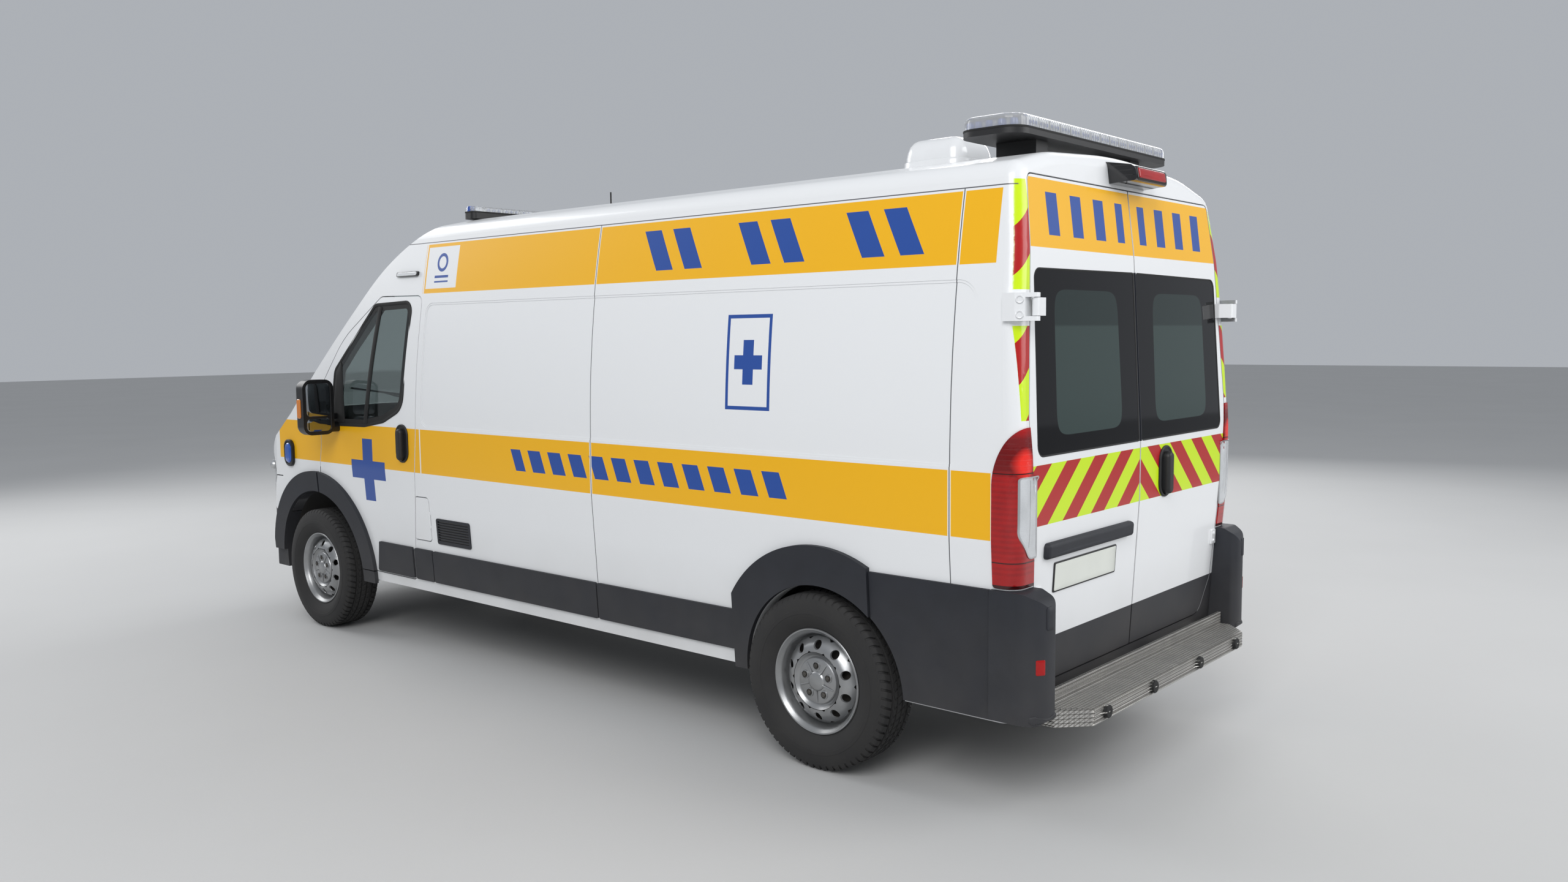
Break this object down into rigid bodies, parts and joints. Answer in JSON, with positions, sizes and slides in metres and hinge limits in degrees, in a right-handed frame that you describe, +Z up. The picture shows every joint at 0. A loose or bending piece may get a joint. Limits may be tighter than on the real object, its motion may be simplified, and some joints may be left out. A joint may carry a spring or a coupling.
{
  "type": "ambulance",
  "caption": "High-roof panel-van ambulance with steered front wheels, opening cab doors, rear doors, bonnet and fuel flap, roof warning light bars and a rear step.",
  "frame": {"origin": "on the ground, under the middle of the vehicle's box", "axes": "+X forward, +Y to the vehicle's left, +Z up"},
  "size_m": [6.1271, 2.48, 2.6499],
  "materials": {
    "paint": "gloss white coach paint",
    "glass": "dark tinted",
    "clear_lens": "clear polycarbonate lens",
    "dark_plastic": "grained dark plastic",
    "tyre": "black rubber",
    "rim": "silver lacquered steel",
    "red_lens": "red lamp lens",
    "chassis_metal": "black painted steel",
    "treadplate": "bright treadplate",
    "interior": "grained grey plastic",
    "seat_fabric": "dark woven seat cloth",
    "floor_cover": "grey floor covering"
  },
  "bodies": {
    "root": {"arch_flares": "dark_plastic", "body_side_left": "paint", "body_side_right": "paint", "bulkhead": "interior", "cab_floor": "floor_cover", "cab_frame": "paint", "chassis": "chassis_metal", "dashboard": "interior", "engine": "chassis_metal", "exhaust": "chassis_metal", "front_bumper": "dark_plastic", "front_carrier": "dark_plastic", "front_suspension": "chassis_metal", "fuel_tank": "chassis_metal", "grille": "dark_plastic", "headlamps": "clear_lens", "lightbar_lenses": "clear_lens", "load_floor": "floor_cover", "rear_axle": "chassis_metal", "rear_bumper": "dark_plastic", "rear_portal": "paint", "rear_step": "treadplate", "roof": "paint", "roof_fittings": "dark_plastic", "seat_bases": "interior", "seats": "seat_fabric", "side_flashers": "dark_plastic", "side_mouldings": "dark_plastic", "sliding_door": "paint", "sliding_door_glass": "glass", "spare_wheel": "chassis_metal", "tail_lamps": "red_lens", "wheel_tubs": "chassis_metal", "windscreen": "glass", "wings": "paint"},
    "hood": {"hood": "paint"},
    "door_left": {"door_left": "paint", "door_glass_left": "glass", "mirror_left": "dark_plastic", "door_cladding_left": "dark_plastic"},
    "door_right": {"door_right": "paint", "door_glass_right": "glass", "mirror_right": "dark_plastic", "door_cladding_right": "dark_plastic"},
    "rear_door_left": {"rear_door_left": "paint", "rear_glass_left": "glass"},
    "rear_door_right": {"rear_door_right": "paint", "rear_glass_right": "glass"},
    "fuel_flap": {"fuel_flap": "paint"},
    "knuckle_left": {"knuckle_left": "chassis_metal"},
    "knuckle_right": {"knuckle_right": "chassis_metal"},
    "wheel_front_left": {"tyre_front_left": "tyre", "rim_front_left": "rim"},
    "wheel_front_right": {"tyre_front_right": "tyre", "rim_front_right": "rim"},
    "wheel_rear_left": {"tyre_rear_left": "tyre", "rim_rear_left": "rim"},
    "wheel_rear_right": {"tyre_rear_right": "tyre", "rim_rear_right": "rim"},
    "steering_wheel": {"steering_wheel": "interior"}
  },
  "joints": [
    {"name": "hood_hinge", "type": "hinge", "parent": "root", "child": "hood", "pos_m": [2.518, 0, 1.312], "axis": [0, -1, 0], "range_deg": [0, 55]},
    {"name": "door_left_hinge", "type": "hinge", "parent": "root", "child": "door_left", "pos_m": [2.065, 1.026, 0.9], "axis": [0, 0, -1], "range_deg": [0, 70]},
    {"name": "door_right_hinge", "type": "hinge", "parent": "root", "child": "door_right", "pos_m": [2.065, -1.026, 0.9], "axis": [0, 0, 1], "range_deg": [0, 70]},
    {"name": "rear_door_left_hinge", "type": "hinge", "parent": "root", "child": "rear_door_left", "pos_m": [-2.904, 0.93, 1.4], "axis": [0, 0, -1], "range_deg": [0, 180]},
    {"name": "rear_door_right_hinge", "type": "hinge", "parent": "root", "child": "rear_door_right", "pos_m": [-2.904, -0.93, 1.4], "axis": [0, 0, 1], "range_deg": [0, 180]},
    {"name": "fuel_flap_hinge", "type": "hinge", "parent": "root", "child": "fuel_flap", "pos_m": [0.881, 0.985, 0.789], "axis": [0, 0.0657, 0.9978], "range_deg": [0, 95]},
    {"name": "steer_left", "type": "hinge", "parent": "root", "child": "knuckle_left", "pos_m": [2.116, 0.835, 0.372], "axis": [0, 0, 1], "range_deg": [-35, 35]},
    {"name": "steer_right", "type": "hinge", "parent": "root", "child": "knuckle_right", "pos_m": [2.116, -0.835, 0.372], "axis": [0, 0, 1], "range_deg": [-35, 35]},
    {"name": "steering_wheel_turn", "type": "hinge", "parent": "root", "child": "steering_wheel", "pos_m": [1.781, 0.43, 1.17], "axis": [-0.5299, 0, 0.848], "range_deg": [-490, 490]},
    {"name": "wheel_front_left_spin", "type": "hinge", "parent": "knuckle_left", "child": "wheel_front_left", "pos_m": [2.116, 0.905, 0.372], "axis": [0, 1, 0], "continuous": true},
    {"name": "wheel_front_right_spin", "type": "hinge", "parent": "knuckle_right", "child": "wheel_front_right", "pos_m": [2.116, -0.905, 0.372], "axis": [0, 1, 0], "continuous": true},
    {"name": "wheel_rear_left_spin", "type": "hinge", "parent": "root", "child": "wheel_rear_left", "pos_m": [-1.919, 0.895, 0.372], "axis": [0, 1, 0], "continuous": true},
    {"name": "wheel_rear_right_spin", "type": "hinge", "parent": "root", "child": "wheel_rear_right", "pos_m": [-1.919, -0.895, 0.372], "axis": [0, 1, 0], "continuous": true}
  ],
  "couplings": [
    {"joint": "steer_right", "follows": "steer_left", "ratio": 1},
    {"joint": "steering_wheel_turn", "follows": "steer_left", "ratio": 14}
  ]
}
